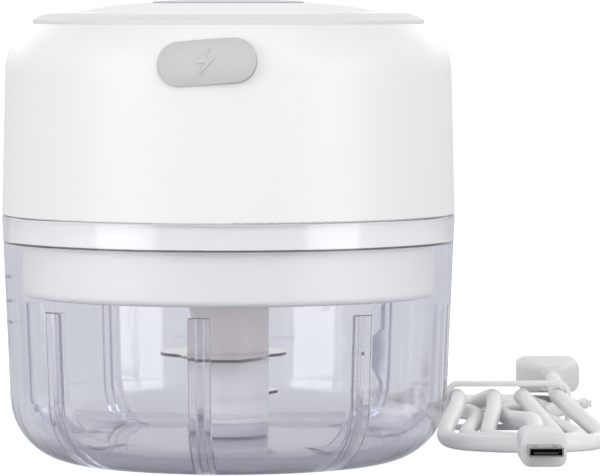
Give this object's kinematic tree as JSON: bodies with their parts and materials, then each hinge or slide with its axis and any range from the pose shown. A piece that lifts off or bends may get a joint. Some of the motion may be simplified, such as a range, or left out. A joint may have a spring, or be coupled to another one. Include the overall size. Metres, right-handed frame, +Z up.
{
  "type": "food processor",
  "caption": "Small cordless food processor: clear ribbed bowl with tiered blades on a hub, round motor head with push button, covered charging port, and a tied USB charging lead.",
  "frame": {"origin": "centre of the bowl's foot, on the surface that it stands on", "axes": "+Z up along the blade axis, front with the charging port towards -Y, +X to the right seen from the front"},
  "size_m": [0.1237, 0.1661, 0.0916],
  "materials": {
    "clear_plastic": "clear moulded, slightly smoky",
    "hub_plastic": "translucent moulded",
    "collar_plastic": "translucent moulded",
    "blade_steel": "ground and polished",
    "white_plastic": "satin moulded",
    "grey_plastic": "satin moulded",
    "panel_plastic": "satin moulded",
    "button_plastic": "smooth moulded",
    "silicone": "matt moulded silicone",
    "screw_steel": "zinc plated",
    "board_laminate": "solder mask",
    "black_plastic": "moulded",
    "connector_steel": "nickel plated",
    "inner_plastic": "moulded",
    "motor_steel": "zinc plated",
    "core_iron": "stamped laminations",
    "magnet": "sintered ferrite",
    "bronze": "sintered",
    "copper": "enamelled copper",
    "carbon": "pressed carbon",
    "battery_can": "sleeved can",
    "cable_pvc": "smooth extruded",
    "plug_pvc": "satin moulded"
  },
  "bodies": {
    "bowl": {"bowl": "clear_plastic", "pivot_pin": "blade_steel"},
    "blade": {"hub_sleeve": "hub_plastic", "hub_foot": "collar_plastic", "hub_base": "hub_plastic", "hub_spacer": "hub_plastic", "hub_collar": "collar_plastic", "upper_blade": "blade_steel", "lower_blade": "blade_steel"},
    "motor_head": {"base_plug": "white_plastic", "seal_ring": "silicone", "shaft_seal": "silicone", "housing_screws": "screw_steel", "housing_shell": "white_plastic", "cover_anchor": "silicone", "top_ring": "grey_plastic", "top_panel": "panel_plastic", "switch_body": "black_plastic", "circuit_board": "board_laminate", "board_screws": "screw_steel", "charging_socket": "connector_steel", "motor_mount": "inner_plastic", "motor_can": "motor_steel", "motor_end_cap": "black_plastic", "motor_bushes": "bronze", "motor_magnets": "magnet", "motor_brushes": "carbon", "motor_terminals": "bronze", "motor_screws": "screw_steel", "battery_cell": "battery_can", "battery_cradle": "inner_plastic", "battery_tabs": "connector_steel"},
    "rotor": {"motor_shaft": "blade_steel", "armature_core": "core_iron", "armature_windings": "copper", "commutator": "copper", "drive_coupler": "inner_plastic"},
    "button": {"power_button": "button_plastic", "switch_plunger": "black_plastic"},
    "port_flap": {"port_cover": "silicone"},
    "charging_lead": {"charging_cable": "cable_pvc", "cable_tie": "cable_pvc", "usb_a_grip": "plug_pvc", "usb_a_shell": "connector_steel", "usb_a_tongue": "white_plastic", "micro_usb_grip": "plug_pvc", "micro_usb_tip": "connector_steel"}
  },
  "joints": [
    {"name": "head_lift", "type": "slide", "parent": "bowl", "child": "motor_head", "axis": [0, 0, 1], "range_m": [0, 0.06]},
    {"name": "rotor_spin", "type": "hinge", "parent": "motor_head", "child": "rotor", "pos_m": [0, 0, 0.055], "axis": [0, 0, 1], "continuous": true},
    {"name": "blade_spin", "type": "hinge", "parent": "bowl", "child": "blade", "pos_m": [0, 0, 0.02], "axis": [0, 0, 1], "continuous": true},
    {"name": "button_press", "type": "slide", "parent": "motor_head", "child": "button", "axis": [0, 0, -1], "range_m": [0, 0.001], "stiffness_N_per_m": 1500, "springref_m": -0.001},
    {"name": "cover_swing", "type": "hinge", "parent": "motor_head", "child": "port_flap", "pos_m": [-0.00976, -0.04276, 0.07924], "axis": [0.0529, -0.1445, -0.9881], "range_deg": [-3.5, 105], "stiffness_Nm_per_rad": 0.0005},
    {"name": "lead_slide", "type": "slide", "parent": "bowl", "child": "charging_lead", "axis": [1, 0, 0], "range_m": [0, 0.1]}
  ],
  "couplings": [
    {"joint": "blade_spin", "follows": "rotor_spin", "ratio": 1}
  ]
}
